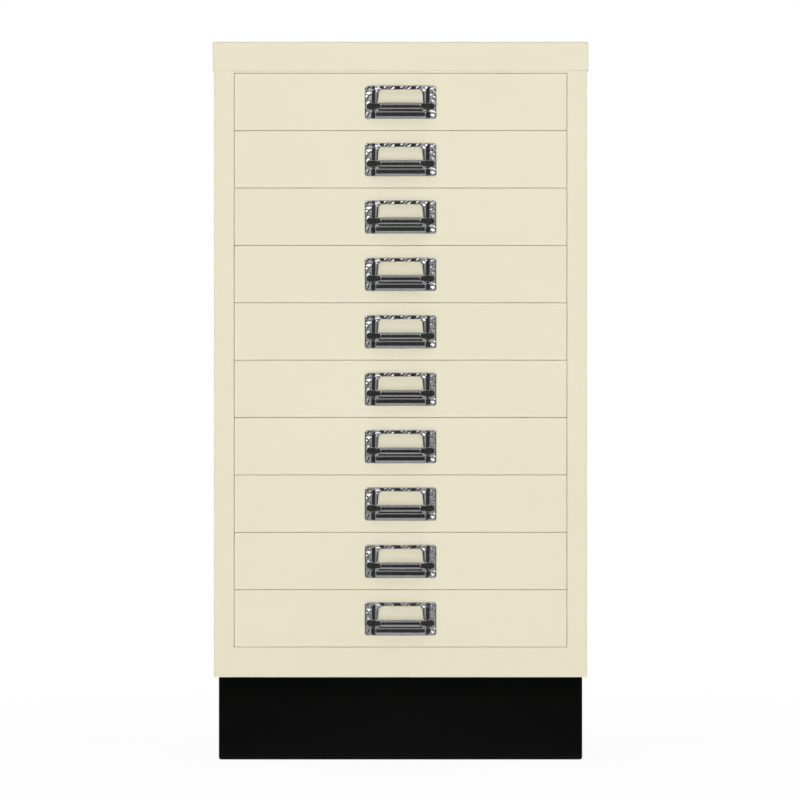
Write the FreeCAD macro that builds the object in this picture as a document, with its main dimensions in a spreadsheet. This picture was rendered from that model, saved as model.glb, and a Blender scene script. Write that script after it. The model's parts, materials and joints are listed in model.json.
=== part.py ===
import FreeCAD, Part
import math
import os
import re

import Sketcher

# Ten-drawer steel cabinet for A3 sheets, standing on a black steel plinth.
#
# Row frame: +Z up, the drawer fronts face -Y, +X is to the right of someone facing the drawers.
# The origin is on the floor, under the middle of the whole box with the handles in it.
# Every piece is drawn in a local frame with y = 0 on the cabinet's front plane and y growing
# backwards, and with x = 0 on the middle plane.  Cabinet and plinth pieces have z = 0 on the
# floor.  Drawer pieces have z = 0 at the bottom of their own bay, handles at their own middle.

# Driving dimensions in millimetres, each with what it measures.
SIZES = {
    "cornice_width": (349.0, "outer width over the lid's skirt"),
    "cornice_depth": (432.0, "outer depth over the lid's skirt, handles left out"),
    "cabinet_height": (590.0, "height from the top of the plinth to the top of the lid"),
    "cornice_height": (26.9, "height of the lid's skirt"),
    "cornice_gap": (0.3, "air between the lid's skirt and the cabinet walls"),
    "cornice_clearance": (2.2, "from the top of the drawer bays to the lid's skirt"),
    "cornice_radius": (1.3, "outer radius of the lid's folded edges"),
    "cabinet_sheet": (0.9, "sheet thickness of the cabinet's walls, rails and runners' posts"),
    "wall_radius": (0.9, "outer radius of the cabinet walls' vertical folds"),
    "stile_width": (18.6, "width of the front stiles folded from the side panels"),
    "stile_edge": (0.5, "outer radius of the folds on the stiles' inner edges"),
    "stile_return": (9.5, "how far a stile's inner edge is folded back"),
    "rear_flange": (15.0, "width of the side panels' rear flange"),
    "base_flange": (15.0, "width of the side panels' bottom flange"),
    "bottom_rail_height": (27.9, "from the underside of the cabinet to the lowest bay"),
    "rail_shelf": (25.0, "depth of the bottom rail's lower flange"),
    "base_start": (12.0, "from the front plane to the base panel and the first posts"),
    "base_upstand": (12.0, "height of the base panel's front and rear upstands"),
    "drawer_count": (10.0, "number of drawers, which share the height between rail and lid"),
    "drawer_gap": (0.3, "air between one drawer front and the next"),
    "drawer_side_gap": (0.3, "air between a drawer front and the stile beside it"),
    "drawer_sheet": (0.8, "sheet thickness of the drawers"),
    "front_depth": (10.0, "depth of the folded pan that makes a drawer front"),
    "front_radius": (0.6, "outer radius of the drawer front's folded edges"),
    "drawer_travel": (310.0, "how far a drawer pulls out"),
    "tray_lift": (2.5, "from the bottom of the bay to the tray's underside"),
    "tray_headroom": (4.0, "from the tray's rim to the top of the bay"),
    "tray_rear_gap": (4.0, "air between a closed tray and the back panel"),
    "tray_fold": (1.6, "outer radius of the tray's folds along its floor"),
    "rim_width": (3.4, "how far the tray's rim stands out from its side"),
    "rim_lip": (5.0, "height of the rim's downturned lip"),
    "runner_clearance": (0.5, "air between the rim's lip and the runner's web"),
    "runner_sheet": (0.9, "sheet thickness of the runners"),
    "runner_rear_gap": (3.0, "air between a runner's rear end and the back panel"),
    "ledge_clearance": (0.6, "air between the tray's side and the runner's ledges"),
    "slide_gap": (0.3, "air between the rim's lip and the ledge that it slides on"),
    "lift_gap": (0.4, "air between the rim and the ledge that holds it down"),
    "stop_gap": (0.3, "air left at the closing and the pull-out stops"),
    "stop_clearance": (0.5, "air round a runner's stop tab under the rim"),
    "post_sheet": (0.9, "sheet thickness of the posts that carry the runners"),
    "post_foot": (10.0, "width of each foot of a post's hat section"),
    "post_web": (30.0, "clear width inside a post's hat section"),
    "post_spacing": (320.0, "from the front posts to the rear posts"),
    "handle_width": (66.6, "width of the handle's plate"),
    "handle_height": (30.9, "height of the handle's plate"),
    "handle_sheet": (0.9, "sheet thickness of the handle's plate"),
    "handle_drop": (0.35, "from the middle of a drawer front down to the handle's middle"),
    "handle_reach": (12.5, "how far the pull stands in front of the drawer"),
    "plate_corner": (2.5, "corner radius of the handle's plate"),
    "flange_width": (6.3, "width of the plate's flat side flanges"),
    "ramp_width": (3.4, "width of the slopes up to the raised land"),
    "card_depth": (2.0, "depth of the card slot behind the raised land"),
    "window_margin": (2.3, "land left beside the window's lower corners"),
    "window_taper": (0.9, "how much narrower the window is at its top, each side"),
    "window_bevel": (2.3, "size of the window's cut upper corners"),
    "window_drop": (3.8, "from the plate's top edge to the window"),
    "window_height": (12.4, "height of the card window"),
    "pull_height": (6.4, "height of the pull's rounded strip"),
    "pull_thickness": (2.4, "thickness of the pull's rounded strip"),
    "pull_lap": (0.2, "how far the pull reaches over the window's lower edge"),
    "pull_foot_inset": (3.4, "from the plate's side edge to the middle of a pull's foot"),
    "pull_bend": (1.6, "radius of the pull's bends at the middle of the strip"),
    "pull_foot_bevel": (1.8, "size of the cut corners of the pull's feet"),
    "ridge_margin": (1.0, "from the plate's lower edge to the stiffening ridge"),
    "ridge_height": (6.2, "height of the stiffening ridge"),
    "ridge_rise": (1.2, "how far the stiffening ridge bulges from the land"),
    "ridge_shoulder": (1.3, "height of the ridge's slopes above and below its flat crown"),
    "ridge_slope": (3.2, "run of the slope at each end of the stiffening ridge"),
    "prong_width": (5.0, "height of each fixing prong"),
    "prong_thickness": (0.9, "thickness of each fixing prong"),
    "prong_rise": (6.0, "from the handle's middle up to the prongs"),
    "prong_length": (2.0, "how far a prong passes its clip"),
    "slot_clearance": (0.2, "air between a prong and its slot in the sheets"),
    "clip_clearance": (0.05, "air between a prong and its clip"),
    "clip_sheet": (0.6, "sheet thickness of the clips"),
    "clip_width": (9.0, "width of a clip"),
    "clip_height": (12.0, "height of a clip"),
    "plinth_height": (80.0, "height of the plinth"),
    "plinth_setback": (50.0, "from the front plane back to the plinth's face"),
    "plinth_side_inset": (2.8, "from the cabinet's side in to the plinth's side"),
    "plinth_rear_inset": (5.0, "from the cabinet's back in to the plinth's back"),
    "plinth_sheet": (1.2, "sheet thickness of the plinth"),
    "plinth_flange": (20.0, "width of the plinth's folded flanges"),
    "plinth_radius": (2.4, "outer radius of the plinth's folded edges"),
    "bracket_sheet": (1.5, "sheet thickness of the plinth's corner brackets"),
    "bracket_leg": (40.0, "length of each leg of a corner bracket"),
    "bracket_margin": (10.0, "from the plinth's flanges to the corner brackets"),
    "bolt_inset": (8.0, "from the plinth's side in to the bolts"),
    "bolt_start": (80.0, "from the front plane back to the first bolts"),
    "bolt_spacing": (220.0, "from the front bolts to the rear bolts"),
    "bolt_radius": (3.0, "shank radius of the bolts"),
    "bolt_head": (4.0, "height of the bolt heads"),
    "bolt_flats": (10.0, "width across the flats of bolt heads and nuts"),
    "bolt_tip": (1.5, "how far a bolt stands out of its nut"),
    "bolt_clearance": (0.3, "air between a bolt and its holes, on the radius"),
    "nut_height": (5.0, "height of the nuts"),
    "thread_clearance": (0.05, "air between a bolt and its nut, on the radius"),
}

# Places and sizes that follow from the driving dimensions.
SKIRT = "(cornice_gap + cabinet_sheet)"
BODY_HALF = f"(cornice_width / 2 - {SKIRT})"
BODY_DEPTH = f"(cornice_depth - 2 * {SKIRT})"
SKIN_HALF = f"({BODY_HALF} - cabinet_sheet)"
OPENING_HALF = f"({BODY_HALF} - stile_width)"
BACK_FACE = f"({BODY_DEPTH} - 2 * cabinet_sheet)"
FRONT_PLACE = f"((handle_reach - {BODY_DEPTH} - {SKIRT}) / 2)"
CABINET_TOP = "(plinth_height + cabinet_height)"
SKIRT_BOTTOM = f"({CABINET_TOP} - cornice_height)"
BAYS_TOP = f"({SKIRT_BOTTOM} - cornice_clearance)"
BAYS_BOTTOM = "(plinth_height + bottom_rail_height)"
BAY_HEIGHT = f"(({BAYS_TOP} - {BAYS_BOTTOM}) / drawer_count)"
BODY_TOP = f"({CABINET_TOP} - cabinet_sheet)"
BASE_TOP = "(plinth_height + 2 * cabinet_sheet)"

FRONT_HALF = f"({OPENING_HALF} - drawer_side_gap)"
FRONT_BOTTOM = "(drawer_gap / 2)"
FRONT_TOP = f"({BAY_HEIGHT} - drawer_gap / 2)"
RIM_HALF = f"({OPENING_HALF} - runner_clearance)"
LIP_HALF = f"({RIM_HALF} - drawer_sheet)"
TRAY_HALF = f"({RIM_HALF} - rim_width)"
TRAY_REAR = f"({BACK_FACE} - tray_rear_gap)"
TRAY_TOP = f"({BAY_HEIGHT} - tray_headroom)"
RIM_UNDERSIDE = f"({TRAY_TOP} - drawer_sheet)"
LIP_BOTTOM = f"({TRAY_TOP} - rim_lip)"

RUNNER_FRONT = "(front_depth + stop_gap)"
RUNNER_REAR = f"({BACK_FACE} - runner_rear_gap)"
WEB_OUTSIDE = f"({OPENING_HALF} + runner_sheet)"
LEDGE_HALF = f"({TRAY_HALF} + ledge_clearance)"
LEDGE_TOP = f"({LIP_BOTTOM} - slide_gap)"
HOLD_DOWN = f"({TRAY_TOP} + lift_gap)"
TRAY_STOP = f"({RUNNER_FRONT} + runner_sheet + drawer_travel + stop_gap)"

HANDLE_HEIGHT_IN_BAY = f"({BAY_HEIGHT} / 2 - handle_drop)"
RAMP_OUTSIDE = "(handle_width / 2 - flange_width)"
LAND_HALF = f"({RAMP_OUTSIDE} - ramp_width)"
LAND_FACE = "(-card_depth - handle_sheet)"
WINDOW_TOP = "(handle_height / 2 - window_drop)"
WINDOW_BOTTOM = f"({WINDOW_TOP} - window_height)"
WINDOW_HALF = f"({LAND_HALF} - window_margin)"
PULL_MIDDLE = f"({WINDOW_BOTTOM} + pull_lap - pull_height / 2)"
PULL_FOOT = "(handle_width / 2 - pull_foot_inset)"
PULL_RUN = "(handle_reach - pull_thickness / 2 - handle_sheet)"
BEND_START = f"({PULL_FOOT} - {PULL_RUN} - pull_bend * (sqrt(2) - 1))"
RIDGE_BOTTOM = "(ridge_margin - handle_height / 2)"
PRONG_PLACE = "(handle_width / 2 - flange_width / 2)"
PRONG_END = "(2 * drawer_sheet + clip_sheet + prong_length)"

PLINTH_HALF = f"({BODY_HALF} - plinth_side_inset)"
PLINTH_REAR = f"({BODY_DEPTH} - plinth_rear_inset)"
PLINTH_INSIDE = f"({PLINTH_HALF} - plinth_sheet)"
BOLT_PLACE = f"({PLINTH_HALF} - bolt_inset)"
BOLT_HOLE = "(bolt_radius + bolt_clearance)"

SIDES = {"left": -1, "right": 1}
TOLERANCE = 1e-4

doc = FreeCAD.newDocument("MultiDrawerCabinet")
sheet = doc.addObject("Spreadsheet::Sheet", "Sizes")
for row, (alias, (size, meaning)) in enumerate(SIZES.items(), start=1):
    sheet.set(f"A{row}", meaning)
    sheet.set(f"B{row}", str(size))
    sheet.setAlias(f"B{row}", alias)
doc.recompute()


def sized(text):
    """The expression with each alias read from the sheet."""
    return re.sub(r"[a-z_]+", lambda word: f"Sizes.{word[0]}" if word[0] in SIZES else word[0], text)


def measure(text):
    """The number that an expression gives with the sheet's present sizes."""
    return float(sheet.evalExpression(sized(text)))


def new_body(label, height="0"):
    """An empty body whose local frame stands on the front plane, at a height above the floor."""
    body = doc.addObject("PartDesign::Body", label)
    body.Label = label
    place(body, height)
    return body


def place(body, height):
    body.setExpression("Placement.Base.y", sized(FRONT_PLACE))
    body.setExpression("Placement.Base.z", sized(height))


def origin_feature(body, role):
    return next(feature for feature in body.Origin.OriginFeatures if feature.Role == role)


def new_sketch(body, name, plane, start="0"):
    """A sketch parallel to one of the body's own origin planes, moved along its axis to start."""
    sketch = body.newObject("Sketcher::SketchObject", name)
    sketch.AttachmentSupport = [(origin_feature(body, plane), "")]
    sketch.MapMode = "FlatFace"
    facing = "-1" if plane == "XZ_Plane" else "1"
    sketch.setExpression("AttachmentOffset.Base.z", sized(f"{facing} * {start}"))
    return sketch


def fix_distance(sketch, kind, geometry, point, text):
    """Tie one point's DistanceX or DistanceY from the sketch's origin to the sheet."""
    index = sketch.addConstraint(Sketcher.Constraint(kind, -1, 1, geometry, point, measure(text)))
    sketch.setExpression(f"Constraints[{index}]", sized(text))


def fix_point(sketch, geometry, point, across, up):
    fix_distance(sketch, "DistanceX", geometry, point, across)
    fix_distance(sketch, "DistanceY", geometry, point, up)


def draw_polygon(sketch, corners):
    """A closed outline through corners given as pairs of expressions."""
    points = [FreeCAD.Vector(measure(across), measure(up), 0) for across, up in corners]
    lines = [
        sketch.addGeometry(Part.LineSegment(point, following), False)
        for point, following in zip(points, points[1:] + points[:1])
    ]
    for line, following in zip(lines, lines[1:] + lines[:1]):
        sketch.addConstraint(Sketcher.Constraint("Coincident", line, 2, following, 1))
    for line, (across, up) in zip(lines, corners):
        fix_point(sketch, line, 1, across, up)


def draw_circle(sketch, across, up, radius):
    centre = FreeCAD.Vector(measure(across), measure(up), 0)
    circle = sketch.addGeometry(Part.Circle(centre, FreeCAD.Vector(0, 0, 1), measure(radius)), False)
    fix_point(sketch, circle, 3, across, up)
    index = sketch.addConstraint(Sketcher.Constraint("Radius", circle, measure(radius)))
    sketch.setExpression(f"Constraints[{index}]", sized(radius))


def rectangle(low_across, high_across, low_up, high_up):
    return [(low_across, low_up), (high_across, low_up), (high_across, high_up), (low_across, high_up)]


def centred_rectangle(half, low_up, high_up):
    return rectangle(f"-1 * {half}", half, low_up, high_up)


def mirrored(side, corners):
    """The corners with the across distances turned to the given side of the middle plane."""
    return [(f"{side} * {across}", up) for across, up in corners]


def extrude(body, kind, name, plane, outlines, start, length):
    """Add (Pad) or cut (Pocket) outlines from start onwards along the plane's positive axis."""
    sketch = new_sketch(body, name + "_outline", plane, start)
    for corners in outlines:
        draw_polygon(sketch, corners)
    return push(body, kind, name, plane, sketch, length)


def push(body, kind, name, plane, sketch, length):
    feature = body.newObject(f"PartDesign::{kind}", name)
    feature.Profile = sketch
    feature.setExpression("Length", sized(length))
    against_normal = plane == "XZ_Plane"
    feature.Reversed = against_normal if kind == "Pad" else not against_normal
    return feature


def drill(body, name, centres, radius, start, length):
    """Cut round holes upwards through a level sheet."""
    sketch = new_sketch(body, name + "_outline", "XY_Plane", start)
    for across, up in centres:
        draw_circle(sketch, across, up, radius)
    return push(body, "Pocket", name, "XY_Plane", sketch, length)


def edges_at(shape, **places):
    """Names of the edges whose ends all lie at the given x, y or z."""
    wanted = {axis: measure(text) for axis, text in places.items()}
    return [
        f"Edge{index}"
        for index, edge in enumerate(shape.Edges, start=1)
        if all(abs(getattr(end.Point, axis) - value) < TOLERANCE
               for end in edge.Vertexes for axis, value in wanted.items())
    ]


def round_edges(body, name, radius, *groups):
    """Round the edges found at each group of places."""
    doc.recompute()
    base = body.Tip
    names = [edge for places in groups for edge in edges_at(base.Shape, **places)]
    feature = body.newObject("PartDesign::Fillet", name)
    feature.Base = (base, sorted(set(names)))
    feature.setExpression("Radius", sized(radius))
    return feature


def repeat(body, name, features, axis, spacing, count):
    """Repeat features along one of the body's axes, spacing apart."""
    pattern = body.newObject("PartDesign::LinearPattern", name)
    pattern.Originals = features
    pattern.Direction = (origin_feature(body, axis), [""])
    pattern.setExpression("Length", sized(f"{spacing} * ({count} - 1)"))
    pattern.setExpression("Occurrences", sized(count))
    body.Tip = pattern
    return pattern


def copy_of(original, label, height):
    """A body with the same shape as the original, at another height."""
    body = new_body(label, height)
    feature = doc.addObject("PartDesign::FeatureBase", label + "_shape")
    feature.BaseFeature = original
    body.Group = [feature]
    body.Tip = feature
    return body


def side_panel(name, side):
    """One outer wall with its front stile, rear flange and bottom flange folded from it."""
    body = new_body(name)
    section = [
        (BODY_HALF, "0"),
        (BODY_HALF, BODY_DEPTH),
        (f"({BODY_HALF} - rear_flange)", BODY_DEPTH),
        (f"({BODY_HALF} - rear_flange)", f"({BODY_DEPTH} - cabinet_sheet)"),
        (SKIN_HALF, f"({BODY_DEPTH} - cabinet_sheet)"),
        (SKIN_HALF, "cabinet_sheet"),
        (f"({OPENING_HALF} + cabinet_sheet)", "cabinet_sheet"),
        (f"({OPENING_HALF} + cabinet_sheet)", "stile_return"),
        (OPENING_HALF, "stile_return"),
        (OPENING_HALF, "0"),
    ]
    extrude(body, "Pad", name + "_wall", "XY_Plane", [mirrored(side, section)],
            "plinth_height", f"({BODY_TOP} - plinth_height)")
    flange = rectangle(f"({BODY_HALF} - base_flange)", BODY_HALF, "stile_return", BACK_FACE)
    extrude(body, "Pad", name + "_foot", "XY_Plane", [mirrored(side, flange)],
            "plinth_height", "cabinet_sheet")
    centres = [(BOLT_PLACE, "bolt_start"), (BOLT_PLACE, "(bolt_start + bolt_spacing)")]
    drill(body, name + "_holes", mirrored(side, centres), BOLT_HOLE, "plinth_height", "cabinet_sheet")
    round_edges(body, name + "_folds", "wall_radius",
                {"x": f"{side} * {BODY_HALF}", "y": "0"},
                {"x": f"{side} * {BODY_HALF}", "y": BODY_DEPTH})
    round_edges(body, name + "_stile_edge", "stile_edge", {"x": f"{side} * {OPENING_HALF}", "y": "0"})
    return body


def back_panel():
    body = new_body("back_panel")
    outline = centred_rectangle(SKIN_HALF, "plinth_height", BODY_TOP)
    extrude(body, "Pad", "back_sheet", "XZ_Plane", [outline], BACK_FACE, "cabinet_sheet")
    return body


def base_panel():
    """The cabinet's floor: it lies on the side panels' flanges and on the bottom rail."""
    body = new_body("base_panel")
    floor = centred_rectangle(SKIN_HALF, "base_start", BACK_FACE)
    extrude(body, "Pad", "base_floor", "XY_Plane", [floor],
            f"({BASE_TOP} - cabinet_sheet)", "cabinet_sheet")
    upstands = [
        centred_rectangle(OPENING_HALF, "base_start", "(base_start + cabinet_sheet)"),
        centred_rectangle(OPENING_HALF, f"({BACK_FACE} - cabinet_sheet)", BACK_FACE),
    ]
    extrude(body, "Pad", "base_upstands", "XY_Plane", upstands,
            f"({BASE_TOP} - cabinet_sheet)", "(cabinet_sheet + base_upstand)")
    centres = [
        (f"{side} * {BOLT_PLACE}", place_along)
        for side in SIDES.values()
        for place_along in ("bolt_start", "(bolt_start + bolt_spacing)")
    ]
    drill(body, "base_holes", centres, BOLT_HOLE, f"({BASE_TOP} - cabinet_sheet)", "cabinet_sheet")
    return body


def front_rail(name, low, high, low_depth, high_depth):
    """A channel between the stiles, open to the back, flush with the front plane."""
    body = new_body(name)
    section = [
        ("0", low),
        (low_depth, low),
        (low_depth, f"({low} + cabinet_sheet)"),
        ("cabinet_sheet", f"({low} + cabinet_sheet)"),
        ("cabinet_sheet", f"({high} - cabinet_sheet)"),
        (high_depth, f"({high} - cabinet_sheet)"),
        (high_depth, high),
        ("0", high),
    ]
    extrude(body, "Pad", name + "_channel", "YZ_Plane", [section],
            f"-1 * {OPENING_HALF}", f"2 * {OPENING_HALF}")
    return body


def top_cover():
    """The lid with its skirt, which hangs a little proud of the walls as a cornice."""
    body = new_body("top_cover")
    front, rear = f"-1 * {SKIRT}", f"({BODY_DEPTH} + {SKIRT})"
    half = "(cornice_width / 2)"
    extrude(body, "Pad", "cover_block", "XY_Plane", [centred_rectangle(half, front, rear)],
            SKIRT_BOTTOM, "cornice_height")
    hollow = centred_rectangle(f"({half} - cabinet_sheet)", f"({front} + cabinet_sheet)",
                               f"({rear} - cabinet_sheet)")
    extrude(body, "Pocket", "cover_hollow", "XY_Plane", [hollow],
            SKIRT_BOTTOM, "(cornice_height - cabinet_sheet)")
    corners = [{"x": f"{side} * {half}", "y": end} for side in SIDES.values() for end in (front, rear)]
    round_edges(body, "cover_folds", "cornice_radius", {"z": CABINET_TOP}, *corners)
    return body


def runner_posts(name, side):
    """Front and rear hat-section posts on one side panel, which carry that side's runners."""
    body = new_body(name)
    first, second = "(base_start + post_foot)", "(base_start + post_foot + post_web)"
    last = "(base_start + 2 * post_foot + post_web)"
    hat = [
        (SKIN_HALF, "base_start"),
        (SKIN_HALF, first),
        (f"({WEB_OUTSIDE} + post_sheet)", first),
        (f"({WEB_OUTSIDE} + post_sheet)", second),
        (SKIN_HALF, second),
        (SKIN_HALF, last),
        (f"({SKIN_HALF} - post_sheet)", last),
        (f"({SKIN_HALF} - post_sheet)", f"({second} + post_sheet)"),
        (WEB_OUTSIDE, f"({second} + post_sheet)"),
        (WEB_OUTSIDE, f"({first} - post_sheet)"),
        (f"({SKIN_HALF} - post_sheet)", f"({first} - post_sheet)"),
        (f"({SKIN_HALF} - post_sheet)", "base_start"),
    ]
    post = extrude(body, "Pad", name + "_hat", "XY_Plane", [mirrored(side, hat)],
                   BASE_TOP, f"({BODY_TOP} - {BASE_TOP})")
    repeat(body, name + "_pair", [post], "Y_Axis", "post_spacing", "2")
    return body


def runners(name, side):
    """One side's runners: channels that hold the trays' rims, one for each drawer."""
    body = new_body(name, BAYS_BOTTOM)
    channel = [
        (LEDGE_HALF, f"({LEDGE_TOP} - runner_sheet)"),
        (WEB_OUTSIDE, f"({LEDGE_TOP} - runner_sheet)"),
        (WEB_OUTSIDE, f"({HOLD_DOWN} + runner_sheet)"),
        (LEDGE_HALF, f"({HOLD_DOWN} + runner_sheet)"),
        (LEDGE_HALF, HOLD_DOWN),
        (OPENING_HALF, HOLD_DOWN),
        (OPENING_HALF, LEDGE_TOP),
        (LEDGE_HALF, LEDGE_TOP),
    ]
    rail = extrude(body, "Pad", name + "_channel", "XZ_Plane", [mirrored(side, channel)],
                   RUNNER_FRONT, f"({RUNNER_REAR} - {RUNNER_FRONT})")
    tab = rectangle(LEDGE_HALF, f"({LIP_HALF} - stop_clearance)",
                    f"({LEDGE_TOP} - runner_sheet)", f"({RIM_UNDERSIDE} - stop_clearance)")
    stop = extrude(body, "Pad", name + "_stop", "XZ_Plane", [mirrored(side, tab)],
                   RUNNER_FRONT, "runner_sheet")
    repeat(body, name + "_stack", [rail, stop], "Z_Axis", BAY_HEIGHT, "drawer_count")
    return body


def prong_slots(centre_up, clearance):
    """Outlines of the two fixing prongs, or of the slots that they pass."""
    half_across = f"(prong_thickness / 2 + {clearance})"
    half_up = f"(prong_width / 2 + {clearance})"
    return [
        rectangle(f"({side} * {PRONG_PLACE} - {half_across})", f"({side} * {PRONG_PLACE} + {half_across})",
                  f"({centre_up} - {half_up})", f"({centre_up} + {half_up})")
        for side in SIDES.values()
    ]


def drawer_tray(name, height):
    """A folded tray that hangs by the hooked rims along its sides."""
    body = new_body(name, height)
    extrude(body, "Pad", "tray_block", "XY_Plane", [centred_rectangle(TRAY_HALF, "drawer_sheet", TRAY_REAR)],
            "tray_lift", f"({TRAY_TOP} - tray_lift)")
    round_edges(body, "tray_outer_folds", "tray_fold",
                {"x": f"-1 * {TRAY_HALF}", "z": "tray_lift"},
                {"x": TRAY_HALF, "z": "tray_lift"},
                {"y": TRAY_REAR, "z": "tray_lift"})
    hollow = centred_rectangle(f"({TRAY_HALF} - drawer_sheet)", "2 * drawer_sheet",
                               f"({TRAY_REAR} - drawer_sheet)")
    floor = "(tray_lift + drawer_sheet)"
    extrude(body, "Pocket", "tray_hollow", "XY_Plane", [hollow], floor, f"({TRAY_TOP} - {floor})")
    round_edges(body, "tray_inner_folds", "(tray_fold - drawer_sheet)", {"z": floor})
    hook = [
        (f"({TRAY_HALF} - drawer_sheet)", RIM_UNDERSIDE),
        (LIP_HALF, RIM_UNDERSIDE),
        (LIP_HALF, LIP_BOTTOM),
        (RIM_HALF, LIP_BOTTOM),
        (RIM_HALF, TRAY_TOP),
        (f"({TRAY_HALF} - drawer_sheet)", TRAY_TOP),
    ]
    extrude(body, "Pad", "tray_rims", "XZ_Plane", [mirrored(side, hook) for side in SIDES.values()],
            "front_depth", f"({TRAY_REAR} - front_depth)")
    tab = rectangle(f"({TRAY_HALF} - drawer_sheet)", LIP_HALF, LIP_BOTTOM, RIM_UNDERSIDE)
    extrude(body, "Pad", "tray_stops", "XZ_Plane", [mirrored(side, tab) for side in SIDES.values()],
            TRAY_STOP, "drawer_sheet")
    slots = prong_slots(f"({HANDLE_HEIGHT_IN_BAY} + prong_rise)", "slot_clearance")
    extrude(body, "Pocket", "tray_slots", "XZ_Plane", slots, "drawer_sheet", "drawer_sheet")
    return body


def drawer_front(name, height):
    """The painted front, a shallow pan folded back on all four sides."""
    body = new_body(name, height)
    extrude(body, "Pad", "front_block", "XZ_Plane", [centred_rectangle(FRONT_HALF, FRONT_BOTTOM, FRONT_TOP)],
            "0", "front_depth")
    hollow = centred_rectangle(f"({FRONT_HALF} - drawer_sheet)", f"({FRONT_BOTTOM} + drawer_sheet)",
                               f"({FRONT_TOP} - drawer_sheet)")
    extrude(body, "Pocket", "front_hollow", "XZ_Plane", [hollow],
            "drawer_sheet", "(front_depth - drawer_sheet)")
    round_edges(body, "front_folds", "front_radius", {"y": "0"})
    slots = prong_slots(f"({HANDLE_HEIGHT_IN_BAY} + prong_rise)", "slot_clearance")
    extrude(body, "Pocket", "front_slots", "XZ_Plane", slots, "0", "drawer_sheet")
    return body


def draw_pull_section(sketch):
    """The pull's section: an upright strip with full round edges."""
    radius = "(pull_thickness / 2)"
    straight = "(pull_height / 2 - pull_thickness / 2)"
    centre = f"({radius} - handle_reach)"
    low, high = f"({PULL_MIDDLE} - {straight})", f"({PULL_MIDDLE} + {straight})"
    near, far = "(-1 * handle_reach)", "(pull_thickness - handle_reach)"

    def point(across, up):
        return FreeCAD.Vector(measure(across), measure(up), 0)

    def round_edge(up, start):
        circle = Part.Circle(point(centre, up), FreeCAD.Vector(0, 0, 1), measure(radius))
        return sketch.addGeometry(Part.ArcOfCircle(circle, start, start + math.pi), False)

    upward = sketch.addGeometry(Part.LineSegment(point(near, low), point(near, high)), False)
    downward = sketch.addGeometry(Part.LineSegment(point(far, high), point(far, low)), False)
    top = round_edge(high, 0)
    bottom = round_edge(low, math.pi)
    for first, first_end, second, second_end in (
            (top, 1, downward, 1), (top, 2, upward, 2), (bottom, 1, upward, 1), (bottom, 2, downward, 2)):
        sketch.addConstraint(Sketcher.Constraint("Coincident", first, first_end, second, second_end))
    fix_point(sketch, upward, 1, near, low)
    fix_point(sketch, upward, 2, near, high)
    fix_point(sketch, downward, 1, far, high)
    fix_point(sketch, downward, 2, far, low)
    fix_distance(sketch, "DistanceY", top, 3, high)
    fix_distance(sketch, "DistanceY", bottom, 3, low)


def draw_pull_path(sketch):
    """Half of the pull's path: from its middle, round a bend of 45 degrees and down past the plate."""
    line_y = "(pull_thickness / 2 - handle_reach)"
    leg_x = f"({BEND_START} + pull_bend * sqrt(2) / 2)"
    leg_y = f"({line_y} + pull_bend * (1 - sqrt(2) / 2))"
    end_x = f"({PULL_FOOT} + pull_thickness)"
    end_y = "(pull_thickness - handle_sheet)"

    def point(across, up):
        return FreeCAD.Vector(measure(across), measure(up), 0)

    straight = sketch.addGeometry(Part.LineSegment(point("0", line_y), point(BEND_START, line_y)), False)
    centre = point(BEND_START, f"({line_y} + pull_bend)")
    circle = Part.Circle(centre, FreeCAD.Vector(0, 0, 1), measure("pull_bend"))
    bend = sketch.addGeometry(Part.ArcOfCircle(circle, -math.pi / 2, -math.pi / 4), False)
    leg = sketch.addGeometry(Part.LineSegment(point(leg_x, leg_y), point(end_x, end_y)), False)
    sketch.addConstraint(Sketcher.Constraint("Coincident", straight, 2, bend, 1))
    sketch.addConstraint(Sketcher.Constraint("Coincident", bend, 2, leg, 1))
    fix_point(sketch, straight, 1, "0", line_y)
    fix_point(sketch, straight, 2, BEND_START, line_y)
    fix_point(sketch, leg, 1, leg_x, leg_y)
    fix_point(sketch, leg, 2, end_x, end_y)
    index = sketch.addConstraint(Sketcher.Constraint("Radius", bend, measure("pull_bend")))
    sketch.setExpression(f"Constraints[{index}]", "Sizes.pull_bend")


def bowed_pull(body):
    """The rounded strip, bowed out of the plate on sloping legs whose feet end inside the sheet."""
    section = new_sketch(body, "pull_section", "YZ_Plane")
    draw_pull_section(section)
    path = new_sketch(body, "pull_path", "XY_Plane", PULL_MIDDLE)
    draw_pull_path(path)
    pull = body.newObject("PartDesign::AdditivePipe", "pull")
    pull.Profile = section
    pull.Spine = path
    other_side = body.newObject("PartDesign::Mirrored", "pull_other_side")
    other_side.Originals = [pull]
    other_side.MirrorPlane = (origin_feature(body, "YZ_Plane"), [""])
    body.Tip = other_side
    low, high = f"({PULL_MIDDLE} - pull_height)", f"({PULL_MIDDLE} + pull_height)"
    extrude(body, "Pocket", "pull_trim", "XZ_Plane", [centred_rectangle("(handle_width / 2)", low, high)],
            "(-1 * handle_sheet / 2)", "2 * pull_thickness")
    outside = f"({PULL_FOOT} + pull_thickness * sqrt(2) / 2)"
    inside = f"({outside} - pull_foot_bevel)"
    corners = []
    for side in SIDES.values():
        for end in (-1, 1):
            edge = f"({PULL_MIDDLE} + {end} * pull_height / 2)"
            cut = f"({edge} - {end} * pull_foot_bevel)"
            corners.append(mirrored(side, [(inside, edge), (outside, edge), (outside, cut)]))
    extrude(body, "Pocket", "pull_foot_corners", "XZ_Plane", corners, "(-1 * handle_reach)", "handle_reach")


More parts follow.
